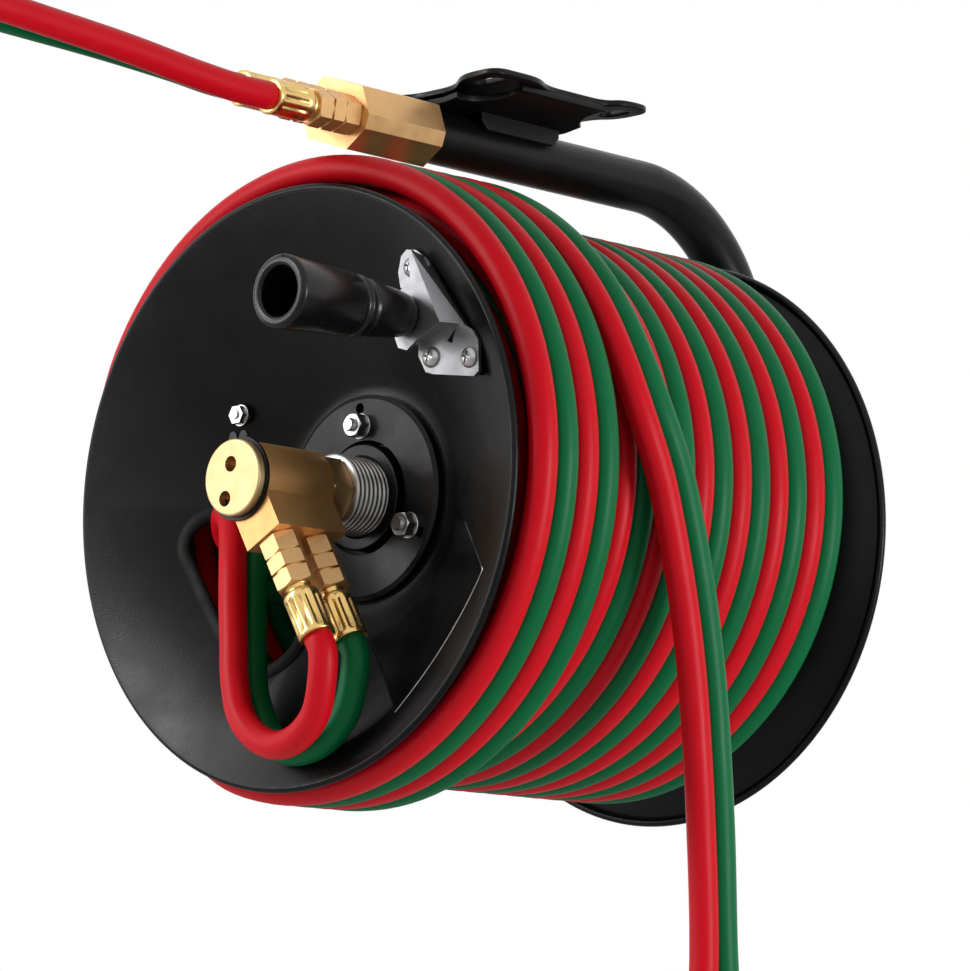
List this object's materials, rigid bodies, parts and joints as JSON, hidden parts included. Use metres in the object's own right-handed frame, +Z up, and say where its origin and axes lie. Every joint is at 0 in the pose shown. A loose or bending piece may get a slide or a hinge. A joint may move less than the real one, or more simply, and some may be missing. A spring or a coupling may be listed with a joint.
{
  "type": "twin welding hose reel",
  "caption": "Hand-cranked reel for a twin gas hose: bent arm on a slotted mounting plate, dished discs, brass swivel and hose fittings.",
  "frame": {"origin": "centre of the mounting plate's top face, which lies against the ceiling or the wall bracket", "axes": "+Z up, normal to the mounting plate; the reel turns about Y, its crank side faces -Y; +X is the side where the free hoses hang down"},
  "size_m": [0.3022, 0.6637, 0.526],
  "materials": {
    "black_steel": "black powder coat, satin",
    "zinc_steel": "zinc plated",
    "brass": "satin brass, machined",
    "brass_bright": "bright brass, crimped",
    "red_hose": "smooth red rubber",
    "green_hose": "smooth green rubber",
    "black_rubber": "matte black rubber",
    "black_plastic": "moulded black plastic, satin",
    "bronze": "sintered bronze",
    "copper": "drawn copper",
    "hose_pack": "inner layers of hose"
  },
  "bodies": {
    "frame": {"mount_plate": "black_steel", "saddle": "black_steel", "arm_tube": "black_steel", "gas_line_oxygen": "copper", "gas_line_fuel": "copper", "axle": "zinc_steel", "retaining_ring": "zinc_steel", "swivel_stem": "brass", "swivel_o_rings": "black_rubber", "inlet_block": "brass", "inlet_adapters": "brass", "inlet_nuts": "brass", "inlet_ferrules": "brass_bright", "lead_hose_red": "red_hose", "lead_hose_green": "green_hose", "lead_ferrule_red": "brass_bright", "lead_ferrule_green": "brass_bright", "lead_nut_red": "brass", "lead_nut_green": "brass", "tail_hose_red": "red_hose", "tail_hose_green": "green_hose", "tail_ferrule_red": "brass_bright", "tail_ferrule_green": "brass_bright", "tail_nut_red": "brass", "tail_nut_green": "brass"},
    "reel": {"front_disc": "black_steel", "back_disc": "black_steel", "drum_barrel": "black_steel", "front_flange": "black_steel", "back_flange": "black_steel", "flange_bolts": "zinc_steel", "flange_nuts": "zinc_steel", "front_collar": "black_plastic", "back_collar": "black_plastic", "front_bush": "bronze", "back_bush": "bronze", "hole_edging": "black_rubber", "disc_bolt": "zinc_steel", "hose_core": "hose_pack", "winding_red": "red_hose", "winding_green": "green_hose", "crank_seat": "black_steel", "crank_bracket": "zinc_steel", "crank_screws": "zinc_steel", "grip_spindle": "zinc_steel", "swivel_body": "brass", "swivel_cap": "brass_bright", "snap_ring": "black_steel", "outlet_adapters": "brass", "outlet_nuts": "brass", "outlet_ferrules": "brass_bright", "jumper_red": "red_hose", "jumper_green": "green_hose"},
    "grip": {"crank_grip": "black_plastic"}
  },
  "joints": [
    {"name": "reel_spin", "type": "hinge", "parent": "frame", "child": "reel", "pos_m": [0, 0, -0.195], "axis": [0, 1, 0], "continuous": true},
    {"name": "grip_spin", "type": "hinge", "parent": "reel", "child": "grip", "pos_m": [0.07274, -0.17, -0.12858], "axis": [0, 1, 0], "continuous": true}
  ]
}
